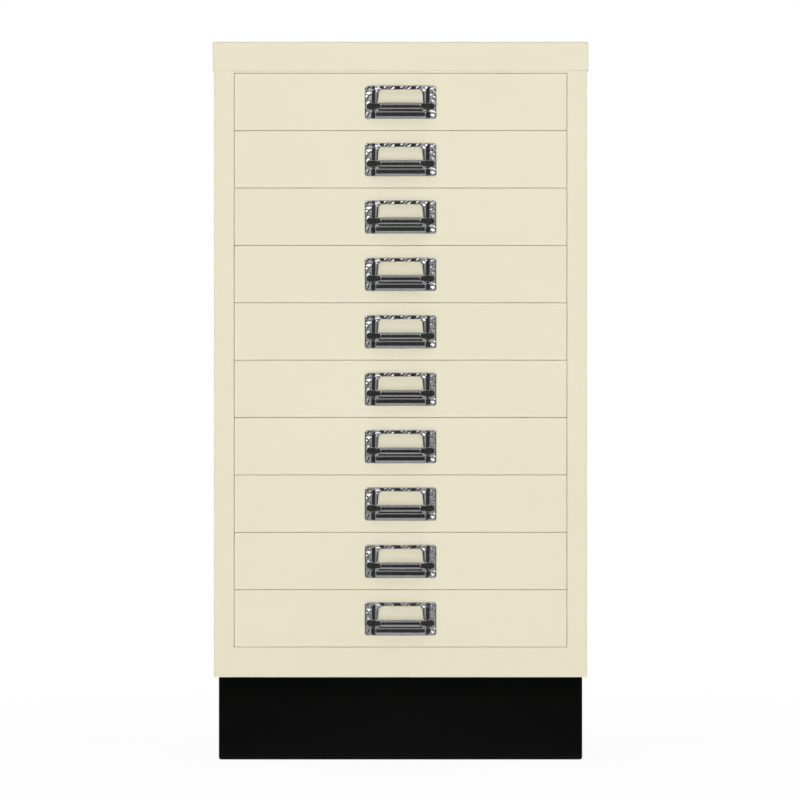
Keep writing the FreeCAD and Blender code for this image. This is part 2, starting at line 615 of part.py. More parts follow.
def drawer_handle(name, height):
    """The plated pull: a pressed plate with a card window, and a rounded strip bowed out of it."""
    body = new_body(name, height)
    bowed_pull(body)
    half_height = "(handle_height / 2)"
    right_half = [
        (LAND_HALF, LAND_FACE),
        (RAMP_OUTSIDE, "(-1 * handle_sheet)"),
        ("(handle_width / 2)", "(-1 * handle_sheet)"),
        ("(handle_width / 2)", "0"),
        (RAMP_OUTSIDE, "0"),
        (LAND_HALF, "(-1 * card_depth)"),
    ]
    plate = right_half + mirrored(-1, reversed(right_half))
    extrude(body, "Pad", "plate", "XY_Plane", [plate], f"-1 * {half_height}", "handle_height")
    top_half = f"({WINDOW_HALF} - window_taper)"
    window_side = [
        (WINDOW_HALF, WINDOW_BOTTOM),
        (top_half, f"({WINDOW_TOP} - window_bevel)"),
        (f"({top_half} - window_bevel)", WINDOW_TOP),
    ]
    window = window_side + mirrored(-1, reversed(window_side))
    extrude(body, "Pocket", "window", "XZ_Plane", [window], LAND_FACE, "(handle_sheet + card_depth)")
    corners = [
        {"x": f"{side} * handle_width / 2", "z": f"{end} * {half_height}"}
        for side in SIDES.values() for end in (-1, 1)
    ]
    round_edges(body, "plate_corners", "plate_corner", *corners)
    inside, crown = "(-1 * card_depth - handle_sheet / 2)", f"({LAND_FACE} - ridge_rise)"
    ridge_top = f"({RIDGE_BOTTOM} + ridge_height)"
    ridge = [
        (inside, RIDGE_BOTTOM),
        (LAND_FACE, RIDGE_BOTTOM),
        (crown, f"({RIDGE_BOTTOM} + ridge_shoulder)"),
        (crown, f"({ridge_top} - ridge_shoulder)"),
        (LAND_FACE, ridge_top),
        (inside, ridge_top),
    ]
    extrude(body, "Pad", "ridge", "YZ_Plane", [ridge], f"-1 * {LAND_HALF}", f"2 * {LAND_HALF}")
    slope = [(LAND_HALF, LAND_FACE), (f"({LAND_HALF} - ridge_slope)", crown), (LAND_HALF, crown)]
    extrude(body, "Pocket", "ridge_ends", "XY_Plane", [mirrored(side, slope) for side in SIDES.values()],
            RIDGE_BOTTOM, "ridge_height")
    extrude(body, "Pad", "prongs", "XZ_Plane", prong_slots("prong_rise", "0"),
            "(-1 * handle_sheet / 2)", f"({PRONG_END} + handle_sheet / 2)")
    return body


def drawer_clips(name, height):
    """Two push-on clips that grip the handle's prongs inside the drawer."""
    body = new_body(name, height)
    plates = [
        rectangle(f"({side} * {PRONG_PLACE} - clip_width / 2)", f"({side} * {PRONG_PLACE} + clip_width / 2)",
                  "(prong_rise - clip_height / 2)", "(prong_rise + clip_height / 2)")
        for side in SIDES.values()
    ]
    extrude(body, "Pad", "clip_plates", "XZ_Plane", plates, "2 * drawer_sheet", "clip_sheet")
    extrude(body, "Pocket", "clip_slots", "XZ_Plane", prong_slots("prong_rise", "clip_clearance"),
            "2 * drawer_sheet", "clip_sheet")
    return body


def plinth_end(name, face, inwards):
    """The plinth's front or back: a pan whose flanges point towards the plinth's inside."""
    body = new_body(name)
    low = face if inwards > 0 else f"({face} - plinth_flange)"
    extrude(body, "Pad", name + "_block", "XZ_Plane", [centred_rectangle(PLINTH_HALF, "0", "plinth_height")],
            low, "plinth_flange")
    hollow = centred_rectangle(PLINTH_INSIDE, "plinth_sheet", "(plinth_height - plinth_sheet)")
    hollow_start = f"({low} + plinth_sheet)" if inwards > 0 else low
    extrude(body, "Pocket", name + "_hollow", "XZ_Plane", [hollow],
            hollow_start, "(plinth_flange - plinth_sheet)")
    folds = [{"y": face, "z": "0"}]
    for side in SIDES.values():
        folds.append({"x": f"{side} * {PLINTH_HALF}", "y": face})
        folds.append({"x": f"{side} * {PLINTH_HALF}", "z": "0"})
    round_edges(body, name + "_folds", "plinth_radius", *folds)
    return body


def plinth_side(name, side):
    """A side channel of the plinth, between the front and the back."""
    body = new_body(name)
    section = [
        (PLINTH_HALF, "0"),
        (PLINTH_HALF, "plinth_height"),
        (f"({PLINTH_HALF} - plinth_flange)", "plinth_height"),
        (f"({PLINTH_HALF} - plinth_flange)", "(plinth_height - plinth_sheet)"),
        (PLINTH_INSIDE, "(plinth_height - plinth_sheet)"),
        (PLINTH_INSIDE, "plinth_sheet"),
        (f"({PLINTH_HALF} - plinth_flange)", "plinth_sheet"),
        (f"({PLINTH_HALF} - plinth_flange)", "0"),
    ]
    start = "(plinth_setback + plinth_flange)"
    extrude(body, "Pad", name + "_channel", "XZ_Plane", [mirrored(side, section)],
            start, f"({PLINTH_REAR} - plinth_flange - {start})")
    centres = [(BOLT_PLACE, "bolt_start"), (BOLT_PLACE, "(bolt_start + bolt_spacing)")]
    drill(body, name + "_holes", mirrored(side, centres), BOLT_HOLE,
          "(plinth_height - plinth_sheet)", "plinth_sheet")
    round_edges(body, name + "_fold", "plinth_radius", {"x": f"{side} * {PLINTH_HALF}", "z": "0"})
    return body


def plinth_brackets():
    """Four angle brackets, one in each corner, that tie the plinth's ends to its sides."""
    body = new_body("plinth_corner_brackets")
    angles = []
    ends = {"(plinth_setback + plinth_sheet)": "1", f"({PLINTH_REAR} - plinth_sheet)": "-1"}
    for side in SIDES.values():
        for face, inwards in ends.items():
            angle = [
                (PLINTH_INSIDE, face),
                (PLINTH_INSIDE, f"({face} + {inwards} * bracket_leg)"),
                (f"({PLINTH_INSIDE} - bracket_sheet)", f"({face} + {inwards} * bracket_leg)"),
                (f"({PLINTH_INSIDE} - bracket_sheet)", f"({face} + {inwards} * bracket_sheet)"),
                (f"({PLINTH_INSIDE} - bracket_leg)", f"({face} + {inwards} * bracket_sheet)"),
                (f"({PLINTH_INSIDE} - bracket_leg)", face),
            ]
            angles.append(mirrored(side, angle))
    margin = "(plinth_sheet + bracket_margin)"
    extrude(body, "Pad", "bracket_angles", "XY_Plane", angles, margin, f"(plinth_height - 2 * {margin})")
    return body


def hexagon(across, up):
    """A hexagon round a bolt's axis, with its flats facing the cabinet's sides."""
    corners = []
    for step in range(6):
        angle = 60 * step + 30
        corners.append((f"({across} + bolt_flats / sqrt(3) * cos({angle}))",
                        f"({up} + bolt_flats / sqrt(3) * sin({angle}))"))
    return corners


def spread_over_corners(body, name, features):
    """Repeat features for the other three bolt places."""
    pattern = repeat(body, name, features, "X_Axis", f"2 * {BOLT_PLACE}", "2")
    pattern.Direction2 = (origin_feature(body, "Y_Axis"), [""])
    pattern.setExpression("Length2", "Sizes.bolt_spacing")
    pattern.Occurrences2 = 2


def plinth_bolts():
    """Bolts that hold the cabinet on the plinth, with their heads inside the plinth."""
    body = new_body("plinth_bolts")
    centre = (f"-1 * {BOLT_PLACE}", "bolt_start")
    underside = "(plinth_height - plinth_sheet)"
    head = extrude(body, "Pad", "bolt_heads", "XY_Plane", [hexagon(*centre)],
                   f"({underside} - bolt_head)", "bolt_head")
    sketch = new_sketch(body, "bolt_shank_outline", "XY_Plane", underside)
    draw_circle(sketch, *centre, "bolt_radius")
    shank = push(body, "Pad", "bolt_shanks", "XY_Plane", sketch,
                 f"({BASE_TOP} + nut_height + bolt_tip - {underside})")
    spread_over_corners(body, "bolt_corners", [head, shank])
    return body


def plinth_nuts():
    """Nuts on the base panel, inside the cabinet."""
    body = new_body("plinth_nuts")
    centre = (f"-1 * {BOLT_PLACE}", "bolt_start")
    sketch = new_sketch(body, "nut_outline", "XY_Plane", BASE_TOP)
    draw_polygon(sketch, hexagon(*centre))
    draw_circle(sketch, *centre, "(bolt_radius + thread_clearance)")
    nut = push(body, "Pad", "nuts", "XY_Plane", sketch, "nut_height")
    spread_over_corners(body, "nut_corners", [nut])
    return body


def build_cabinet():
    bodies = [side_panel(f"{word}_side_panel", side) for word, side in SIDES.items()]
    bodies += [back_panel(), base_panel(), top_cover()]
    bodies.append(front_rail("bottom_front_rail", "plinth_height", f"({BAYS_BOTTOM} - drawer_gap / 2)",
                             "rail_shelf", "stile_return"))
    bodies.append(front_rail("top_front_rail", f"({BAYS_TOP} + drawer_gap / 2)", BODY_TOP,
                             "stile_return", "rail_shelf"))
    bodies += [runner_posts(f"{word}_runner_posts", side) for word, side in SIDES.items()]
    bodies += [runners(f"{word}_runners", side) for word, side in SIDES.items()]
    return bodies


def build_plinth():
    bodies = [plinth_end("plinth_front", "plinth_setback", 1), plinth_end("plinth_back", PLINTH_REAR, -1)]
    bodies += [plinth_side(f"plinth_{word}_side", side) for word, side in SIDES.items()]
    bodies += [plinth_brackets(), plinth_bolts(), plinth_nuts()]
    return bodies


def build_drawers():
    """The first drawer's four pieces, and a copy of each for every drawer below it."""
    makers = {"tray": drawer_tray, "front": drawer_front, "handle": drawer_handle, "clips": drawer_clips}
    lifts = {"tray": "0", "front": "0", "handle": HANDLE_HEIGHT_IN_BAY, "clips": HANDLE_HEIGHT_IN_BAY}
    originals = {}
    bodies = []
    for number in range(1, round(measure("drawer_count")) + 1):
        bay = f"({BAYS_BOTTOM} + (drawer_count - {number}) * {BAY_HEIGHT})"
        for piece, maker in makers.items():
            label = f"drawer_{number:02d}_{piece}"
            height = f"({bay} + {lifts[piece]})"
            if piece in originals:
                bodies.append(copy_of(originals[piece], label, height))
            else:
                originals[piece] = maker(label, height)
                bodies.append(originals[piece])
    return bodies


def check(bodies):
    """Stop on a failed feature, an empty or invalid shape, or a cut that took nothing away."""
    for thing in doc.Objects:
        if {"Invalid", "Error"} & set(thing.State):
            raise RuntimeError(f"{thing.Label} is {thing.State}")
        if thing.TypeId == "PartDesign::Pocket":
            if thing.Shape.Volume > thing.BaseFeature.Shape.Volume - TOLERANCE:
                raise RuntimeError(f"{thing.Label} cuts nothing")
    for body in bodies:
        if body.Shape.isNull() or not body.Shape.isValid() or not body.Shape.Solids:
            raise RuntimeError(f"{body.Label} has no valid shape")


parts = build_cabinet() + build_plinth() + build_drawers()
doc.recompute()
check(parts)
os.makedirs("parts", exist_ok=True)
for part in parts:
    part.Shape.exportStep(f"parts/{part.Label}.step")
whole = Part.makeCompound([part.Shape for part in parts]).optimalBoundingBox(False)
print(f"{len(parts)} nodes, {whole.XLength:.2f} x {whole.YLength:.2f} x {whole.ZLength:.2f} mm")
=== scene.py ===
import json
import math

import bmesh
import bpy
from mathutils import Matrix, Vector


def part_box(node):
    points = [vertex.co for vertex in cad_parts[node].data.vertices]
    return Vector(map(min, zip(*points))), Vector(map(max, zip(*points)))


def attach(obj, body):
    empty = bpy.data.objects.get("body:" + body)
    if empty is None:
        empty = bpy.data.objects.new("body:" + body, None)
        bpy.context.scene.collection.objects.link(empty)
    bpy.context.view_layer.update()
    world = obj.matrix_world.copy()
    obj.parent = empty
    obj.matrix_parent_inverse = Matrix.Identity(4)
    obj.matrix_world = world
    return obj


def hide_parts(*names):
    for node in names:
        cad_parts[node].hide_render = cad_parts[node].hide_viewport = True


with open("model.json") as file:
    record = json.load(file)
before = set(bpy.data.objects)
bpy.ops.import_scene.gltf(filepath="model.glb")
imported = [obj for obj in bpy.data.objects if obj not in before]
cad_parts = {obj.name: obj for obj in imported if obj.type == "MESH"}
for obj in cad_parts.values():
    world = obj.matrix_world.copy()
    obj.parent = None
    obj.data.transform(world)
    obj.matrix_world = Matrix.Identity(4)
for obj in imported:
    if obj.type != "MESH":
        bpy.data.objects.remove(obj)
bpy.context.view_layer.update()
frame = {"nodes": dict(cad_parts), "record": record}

# Photograph: a long lens, level, square on to the drawer fronts.
IMAGE_FIELD = 0.7430          # metres of the front plane across the picture
CAMERA_DISTANCE = 5.0         # from the front plane
CAMERA_HEIGHT = 0.3374
CAMERA_ACROSS = -0.0005
SENSOR = 36.0

# Studio lights: place, what each points at, width and height in metres, and watts.  The key light
# stands level in front, just above the floor.
KEY_LIGHT = ((0.0, -4.6, 0.36), (0.0, -0.2, 0.35), (3.2, 0.70), 124.0)
TOP_LIGHT = ((0.0, -1.7, 2.9), (0.0, -0.2, 0.4), (2.4, 1.0), 15.0)
LEFT_FILL = ((-2.3, 1.7, 1.5), (0.0, 0.1, 0.35), (1.6, 1.6), 52.0)
RIGHT_FILL = ((2.3, 1.7, 1.5), (0.0, 0.1, 0.35), (1.6, 1.6), 52.0)
WORLD_LIGHT = 0.12
FLOOR_HALF, FLOOR_GREY = 30.0, 0.88


def new_material(name):
    material = bpy.data.materials.new(name)
    material.use_nodes = True
    tree = material.node_tree
    tree.nodes.clear()
    out = tree.nodes.new("ShaderNodeOutputMaterial")
    return material, tree, out


def link(tree, a, b):
    tree.links.new(a, b)


def noise(tree, coords, scale, detail=3.0, roughness=0.5, distortion=0.0):
    node = tree.nodes.new("ShaderNodeTexNoise")
    node.inputs["Scale"].default_value = scale
    node.inputs["Detail"].default_value = detail
    node.inputs["Roughness"].default_value = roughness
    node.inputs["Distortion"].default_value = distortion
    link(tree, coords, node.inputs["Vector"])
    return node.outputs["Fac"]


def ramp(tree, fac, stops):
    node = tree.nodes.new("ShaderNodeValToRGB")
    elements = node.color_ramp.elements
    while len(elements) < len(stops):
        elements.new(0.5)
    for element, (position, colour) in zip(elements, stops):
        element.position = position
        element.color = (*colour, 1.0)
    link(tree, fac, node.inputs["Fac"])
    return node.outputs["Color"]


def map_range(tree, value, low, high, to_low, to_high):
    node = tree.nodes.new("ShaderNodeMapRange")
    limits = {"From Min": low, "From Max": high, "To Min": to_low, "To Max": to_high}
    for name, number in limits.items():
        node.inputs[name].default_value = number
    link(tree, value, node.inputs["Value"])
    return node.outputs["Result"]


def bump(tree, height, strength, distance, normal=None):
    node = tree.nodes.new("ShaderNodeBump")
    node.inputs["Strength"].default_value = strength
    node.inputs["Distance"].default_value = distance
    link(tree, height, node.inputs["Height"])
    if normal is not None:
        link(tree, normal, node.inputs["Normal"])
    return node.outputs["Normal"]


def object_coordinates(tree):
    return tree.nodes.new("ShaderNodeTexCoord").outputs["Object"]


def cream_paint():
    material, tree, out = new_material("cream_powder_coat")
    shader = tree.nodes.new("ShaderNodeBsdfPrincipled")
    coords = object_coordinates(tree)
    cloud = noise(tree, coords, 6.0, 3.0)
    colour = ramp(tree, cloud, [(0.30, (0.798, 0.748, 0.572)), (0.70, (0.812, 0.765, 0.590))])
    link(tree, colour, shader.inputs["Base Color"])
    fine = noise(tree, coords, 900.0, 2.0)
    link(tree, map_range(tree, fine, 0.3, 0.7, 0.42, 0.54), shader.inputs["Roughness"])
    peel = noise(tree, coords, 650.0, 2.0)
    link(tree, bump(tree, peel, 0.12, 0.0002), shader.inputs["Normal"])
    shader.inputs["Specular IOR Level"].default_value = 0.35
    link(tree, shader.outputs["BSDF"], out.inputs["Surface"])
    return material


def black_paint():
    material, tree, out = new_material("black_textured_coat")
    shader = tree.nodes.new("ShaderNodeBsdfPrincipled")
    coords = object_coordinates(tree)
    speck = noise(tree, coords, 1100.0, 3.0, 0.6)
    colour = ramp(tree, speck, [(0.35, (0.0004, 0.0004, 0.0004)), (0.75, (0.0030, 0.0030, 0.0030))])
    link(tree, colour, shader.inputs["Base Color"])
    link(tree, map_range(tree, speck, 0.3, 0.7, 0.55, 0.75), shader.inputs["Roughness"])
    link(tree, bump(tree, speck, 0.35, 0.0002), shader.inputs["Normal"])
    shader.inputs["Specular IOR Level"].default_value = 0.10
    link(tree, shader.outputs["BSDF"], out.inputs["Surface"])
    return material


def chrome_plate():
    """Bright plating over a pressing whose flat side flanges are a little wavy."""
    material, tree, out = new_material("bright_chrome")
    shader = tree.nodes.new("ShaderNodeBsdfPrincipled")
    coords = object_coordinates(tree)
    shader.inputs["Metallic"].default_value = 1.0
    haze = noise(tree, coords, 400.0, 3.0)
    colour = ramp(tree, haze, [(0.3, (0.46, 0.46, 0.47)), (0.7, (0.54, 0.54, 0.55))])
    link(tree, colour, shader.inputs["Base Color"])
    link(tree, map_range(tree, haze, 0.3, 0.7, 0.04, 0.09), shader.inputs["Roughness"])
    across = tree.nodes.new("ShaderNodeSeparateXYZ")
    link(tree, coords, across.inputs[0])
    side = tree.nodes.new("ShaderNodeMath")
    side.operation = "ABSOLUTE"
    link(tree, across.outputs["X"], side.inputs[0])
    flange = map_range(tree, side.outputs[0], 0.0262, 0.0276, 0.0, 1.0)
    dents = noise(tree, coords, 260.0, 2.0, 0.5, 0.8)
    dented = tree.nodes.new("ShaderNodeMath")
    dented.operation = "MULTIPLY"
    link(tree, dents, dented.inputs[0])
    link(tree, flange, dented.inputs[1])
    wave = noise(tree, coords, 120.0, 2.0)
    waved = bump(tree, wave, 0.35, 0.0006)
    link(tree, bump(tree, dented.outputs[0], 0.16, 0.0012, waved), shader.inputs["Normal"])
    link(tree, shader.outputs["BSDF"], out.inputs["Surface"])
    return material


def dull_plate_and_painted_shade():
    """The thin, hazy plating on the back of the pulls, where it isn't polished; its colour is far
    darker than plating and is painted shade on the faces turned back towards the drawer.
    """
    return plated_steel("dull_chrome_and_painted_shade", (0.10, 0.10, 0.10), (0.17, 0.17, 0.17), 700.0, (0.30, 0.45))


def plated_steel(name, dark, light, scale, rough):
    material, tree, out = new_material(name)
    shader = tree.nodes.new("ShaderNodeBsdfPrincipled")
    coords = object_coordinates(tree)
    shader.inputs["Metallic"].default_value = 1.0
    grain = noise(tree, coords, scale, 4.0, 0.6)
    link(tree, ramp(tree, grain, [(0.3, dark), (0.7, light)]), shader.inputs["Base Color"])
    link(tree, map_range(tree, grain, 0.3, 0.7, *rough), shader.inputs["Roughness"])
    link(tree, bump(tree, grain, 0.1, 0.0001), shader.inputs["Normal"])
    link(tree, shader.outputs["BSDF"], out.inputs["Surface"])
    return material


def new_object(name, data):
    thing = bpy.data.objects.new(name, data)
    bpy.context.scene.collection.objects.link(thing)
    return thing


def finished_mesh(mesh, name):
    """The bmesh as a mesh of its own, with all its faces turned outwards."""
    bmesh.ops.recalc_face_normals(mesh, faces=mesh.faces[:])
    data = bpy.data.meshes.new(name)
    mesh.to_mesh(data)
    mesh.free()
    return data


def join_rings(mesh, rings):
    """Four-sided faces between each closed ring of points and the next."""
    for ring, following in zip(rings, rings[1:]):
        for i in range(len(ring)):
            j = (i + 1) % len(ring)
            mesh.faces.new([ring[i], ring[j], following[j], following[i]])


FINISHES = {
    "cream_paint": cream_paint(),
    "black_paint": black_paint(),
    "chrome_plate": chrome_plate(),
    "spring_steel": plated_steel(
        "spring_steel", (0.22, 0.22, 0.23), (0.34, 0.34, 0.35), 500.0, (0.3, 0.45)),
    "zinc_plate": plated_steel(
        "zinc_plate", (0.50, 0.50, 0.47), (0.66, 0.66, 0.63), 300.0, (0.3, 0.42)),
}

slots = {part["node"]: part["material_slot"] for part in frame["record"]["subparts"]}
for node, thing in frame["nodes"].items():
    finish = FINISHES[slots[node]]
    for slot in thing.material_slots:
        slot.material = finish


# The plated pull, in millimetres: x across, y = 0 on the drawer front and growing into it,
# z up from the middle of the plate.
PLATE_HALF_WIDTH, PLATE_HALF_HEIGHT, PLATE_CORNER, EDGE_ROLL = 33.3, 15.45, 2.5, 0.4
SHEET = 0.9
RAMP_OUTSIDE, LAND_HALF, FLANGE_RISE, LAND_RISE, CROWN_RISE = 27.0, 23.6, 0.55, 1.30, 0.40
WINDOW_TOP, WINDOW_BOTTOM = 11.65, -0.95
WINDOW_HALF_TOP, WINDOW_HALF_BOTTOM = 20.4, 21.3
WINDOW_BEVEL, WINDOW_CORNER, WINDOW_ROLL = 2.3, 0.6, 0.6
RIDGE_LOW, RIDGE_HIGH, RIDGE_LOW_SLOPE, RIDGE_HIGH_SLOPE = -14.6, -8.45, 1.55, 0.9
RIDGE_RISE = 0.85
LONG_WAVE, SHORT_WAVE, STREAK = 0.030, 0.025, 0.17
PULL_MIDDLE, PULL_HEIGHT, PULL_THICKNESS, PULL_REACH = -3.87, 6.0, 2.4, 12.5
PULL_FOOT, PULL_BEND, PULL_FLARE = 29.9, 1.6, 1.0
PRONG_PLACE, PRONG_RISE, PRONG_WIDTH, PRONG_END = 30.15, 6.0, 5.0, 4.2
# Points along the plate's long sides, round its corners and along its short sides, and the rings of
# points between its outline and its window.
PLATE_COUNTS, PLATE_RINGS = (84, 8, 40), 44
# Places where the pressing is a little askew: x and z of the middle, radii along and across, how
# far the long way is turned up from the level, and how much the face rises to the right and
# upwards, per millimetre.
ASKEW = (
    (-29.9, 8.3, 3.3, 2.1, 8.0, 0.07, -0.16),
    (-30.9, 6.2, 1.6, 1.4, 80.0, 0.07, -0.16),
    (-29.9, 0.3, 1.8, 1.3, -35.0, 0.07, -0.16),
    (-30.4, 13.2, 2.8, 1.7, 10.0, -0.08, 0.03),
    (29.8, 12.9, 2.6, 1.0, 50.0, -0.07, -0.11),
    (32.0, 8.0, 2.4, 0.9, 90.0, 0.09, 0.0),
    (30.2, -11.9, 2.2, 2.0, 0.0, -0.07, -0.16),
    (31.6, -8.9, 1.9, 1.1, -60.0, -0.07, -0.16),
    (-20.4, 13.0, 2.6, 0.65, -25.0, 0.13, -0.14),
    (-22.0, 10.4, 1.1, 0.9, 0.0, 0.10, -0.14),
    (21.6, 11.1, 1.9, 1.5, 20.0, -0.13, -0.16),
)

# The lid with its skirt, and the fill in the seams beside the bottom rail, in millimetres.
LID_RADIUS, LID_SHEET, HEM_RADIUS = 1.3, 0.9, 0.88
SEAM_HALF_WIDTH, SEAM_DEPTH, SEAM_INSET = 1.2, 0.5, 0.02

# A face of the pull that looks back at the drawer by more than this has the dull plating, whose very
# dark colour is painted shade.
UNPOLISHED_AND_SHADED = 0.35
MM = 0.001


def steps_between(low, high, count):
    return [low + (high - low) * step / count for step in range(count + 1)]


def soft_step(value, rounding):
    """0 below 0 and 1 above 1, straight between, with both corners rounded."""
    def bend(x):
        if x <= -rounding:
            return 0.0
        if x >= rounding:
            return x
        return (x + rounding) ** 2 / (4.0 * rounding)
    return bend(value) - bend(value - 1.0)


def soft_min(a, b, blend):
    h = max(0.0, min(1.0, 0.5 + 0.5 * (b - a) / blend))
    return b + (a - b) * h - blend * h * (1.0 - h)


def plate_front(x, z):
    """How far the plate's front face stands in front of the drawer, in millimetres."""
    side = abs(x)
    ramp_outside = RAMP_OUTSIDE + (0.6 if x > 0 else 0.0)
    ramp = soft_step((ramp_outside - side) / (ramp_outside - LAND_HALF), 0.20)
    flange_width = PLATE_HALF_WIDTH - ramp_outside
    rise = SHEET + FLANGE_RISE * soft_step((PLATE_HALF_WIDTH - side) / flange_width, 0.05)
    rise += LAND_RISE * ramp
    up = soft_step((z - RIDGE_LOW) / RIDGE_LOW_SLOPE, 0.12)
    down = soft_step((RIDGE_HIGH - z) / RIDGE_HIGH_SLOPE, 0.12)
    ridge = max(0.0, soft_min(up, down, 0.12))
    crown = soft_step((LAND_HALF + 0.3 - side) / 3.6, 0.25)
    rise += RIDGE_RISE * ridge * ramp + CROWN_RISE * (crown + (ramp - crown) * ridge)
    flange = soft_step((side - ramp_outside) / 1.0, 0.3)
    strip = soft_step((z - WINDOW_TOP + 1.0) / 1.5, 0.3) * (1.0 - flange)
    wave = LONG_WAVE * math.sin(0.9 * x + 1.3 * z) + SHORT_WAVE * math.sin(1.7 * x - 0.8 * z + 1.1)
    streak = STREAK * math.sin(0.62 * x - 0.9 * z) * math.sin(0.21 * x + 0.6)
    for place, height, along, across, turn, slope_x, slope_z in ASKEW:
        c, d = math.cos(math.radians(turn)), math.sin(math.radians(turn))
        u, v = c * (x - place) + d * (z - height), c * (z - height) - d * (x - place)
        share = max(0.0, 1.0 - ((u / along) ** 2 + (v / across) ** 2) ** 3)
        rise += share * (slope_x * (x - place) + slope_z * (z - height))
    edge = min(PLATE_HALF_WIDTH - side, PLATE_HALF_HEIGHT - abs(z))
    rolled = EDGE_ROLL * max(0.0, 1.0 - edge / (2.0 * EDGE_ROLL)) ** 2
    return rise + wave * flange + streak * strip - rolled


def between(start, end, count):
    """Points from start on towards end, without end itself."""
    return [
        (start[0] + (end[0] - start[0]) * step / count, start[1] + (end[1] - start[1]) * step / count)
        for step in range(count)
    ]


def quarter(centre, radius, start, count):
    """A quarter turn clockwise from the angle start, without its last point."""
    angles = [math.radians(start - 90.0 * step / count) for step in range(count)]
    return [(centre[0] + radius * math.cos(a), centre[1] + radius * math.sin(a)) for a in angles]


def plate_outline(long, corner, short):
    """Clockwise from the top left; long, corner and short are the numbers of points."""
    x, z, r = PLATE_HALF_WIDTH - PLATE_CORNER, PLATE_HALF_HEIGHT - PLATE_CORNER, PLATE_CORNER
    points = between((-x, z + r), (x, z + r), long) + quarter((x, z), r, 90.0, corner)
    points += between((x + r, z), (x + r, -z), short) + quarter((x, -z), r, 0.0, corner)
    points += between((x, -z - r), (-x, -z - r), long) + quarter((-x, -z), r, -90.0, corner)
    return points + between((-x - r, -z), (-x - r, z), short) + quarter((-x, z), r, 180.0, corner)


def window_outline(long, corner, short):
    """The card window, with as many points on each stretch as the plate's outline has."""
    top, bottom, bevel, r = WINDOW_TOP, WINDOW_BOTTOM, WINDOW_BEVEL, WINDOW_CORNER
    high = (WINDOW_HALF_TOP, top - bevel)
    low = (WINDOW_HALF_BOTTOM, bottom + r)
    points = between((bevel - WINDOW_HALF_TOP, top), (WINDOW_HALF_TOP - bevel, top), long)
    points += between((WINDOW_HALF_TOP - bevel, top), high, corner)
    points += between(high, low, short) + quarter((low[0] - r, low[1]), r, 0.0, corner)
    points += between((low[0] - r, bottom), (r - low[0], bottom), long)
    points += quarter((r - low[0], low[1]), r, -90.0, corner)
    points += between((-low[0], low[1]), (-high[0], high[1]), short)
    return points + between((-high[0], high[1]), (bevel - WINDOW_HALF_TOP, top), corner)


def add_plate(mesh):
    """The pressed plate as one closed skin, SHEET thick, between its outline and its window."""
    counts, rings = PLATE_COUNTS, PLATE_RINGS
    outer, inner = plate_outline(*counts), window_outline(*counts)
    number = len(outer)
    fronts, backs = [], []
    for ring in range(rings + 1):
        share = ring / rings
        row_front, row_back = [], []
        for (xo, zo), (xi, zi) in zip(outer, inner):
            x, z = xo + (xi - xo) * share, zo + (zi - zo) * share
            y = plate_front(x, z)
            lowered = WINDOW_ROLL * max(0.0, 1.0 - (rings - ring) / 5) ** 1.5
            row_front.append(mesh.verts.new((x * MM, -(y - lowered) * MM, z * MM)))
            row_back.append(mesh.verts.new((x * MM, -max(0.0, y - SHEET) * MM, z * MM)))
        fronts.append(row_front)
        backs.append(row_back)
    for rows, flip in ((fronts, False), (backs, True)):
        for row, following in zip(rows, rows[1:]):
            for i in range(number):
                j = (i + 1) % number
                corners = [row[i], row[j], following[j], following[i]]
                mesh.faces.new(corners[::-1] if flip else corners)
    for front, back, flip in ((fronts[0], backs[0], True), (fronts[-1], backs[-1], False)):
        for i in range(number):
            j = (i + 1) % number
            corners = [front[i], front[j], back[j], back[i]]
            mesh.faces.new(corners[::-1] if not flip else corners)


def pull_stations():
    """Centre, direction out of the strip's front, height and shares of its rounding, end to end."""
    front, crease, turn = PULL_THICKNESS / 2 - PULL_REACH, math.radians(15.0), math.radians(42.0)
    bend_x = PULL_BEND * (math.sin(turn) - math.sin(crease))
    bend_y = PULL_BEND * (math.cos(crease) - math.cos(turn))
    deep = -SHEET - front - bend_y
    wide = deep / math.tan(turn)
    start = PULL_FOOT - bend_x - wide
    half = [((start * share, front), 0.0) for share in (0.0, 0.25, 0.5, 0.75, 0.9, 0.97, 0.998)]
    half += [
        ((start + PULL_BEND * (math.sin(a) - math.sin(crease)),
          front + PULL_BEND * (math.cos(crease) - math.cos(a))), a)
        for a in (crease + (turn - crease) * step / 6 for step in range(7))
    ]
    half += [
        ((start + bend_x + wide * share, front + bend_y + deep * share), turn)
        for share in (0.1, 0.2, 0.3, 0.4, 0.5, 0.6, 0.7, 0.76, 0.82, 0.88, 0.93, 0.97, 1.0, 1.03,
                      1.06, 1.09)
    ]
    end = PULL_FOOT + 0.1 * wide
    stations = []
    for (x, y), a in half:
        near = max(0.0, min(1.0, (end - x) / 3.2))
        flare = PULL_FLARE * (soft_step((x - 21.5) / 5.0, 0.3) - 0.7 * soft_step((x - 17.5) / 4.0, 0.3))
        height = (PULL_HEIGHT + flare) * math.sqrt(max(0.05, 1.0 - (1.0 - near) ** 2))
        flat = soft_step((x - start) / 4.0, 0.2)
        stations.append(
            ((x, y), (math.sin(a), -math.cos(a)), height, 0.42 - 0.38 * flat, 0.28 - 0.24 * flat))
    mirrored = [((-x, y), (-nx, ny), *rest) for (x, y), (nx, ny), *rest in reversed(stations[1:])]
    return mirrored + stations


def flat_points(low, high):
    """Heights on the flat stretch of the strip's section, close to its two ends."""
    return [low + (high - low) * share for share in (0.04, 0.35, 0.65, 0.96)]


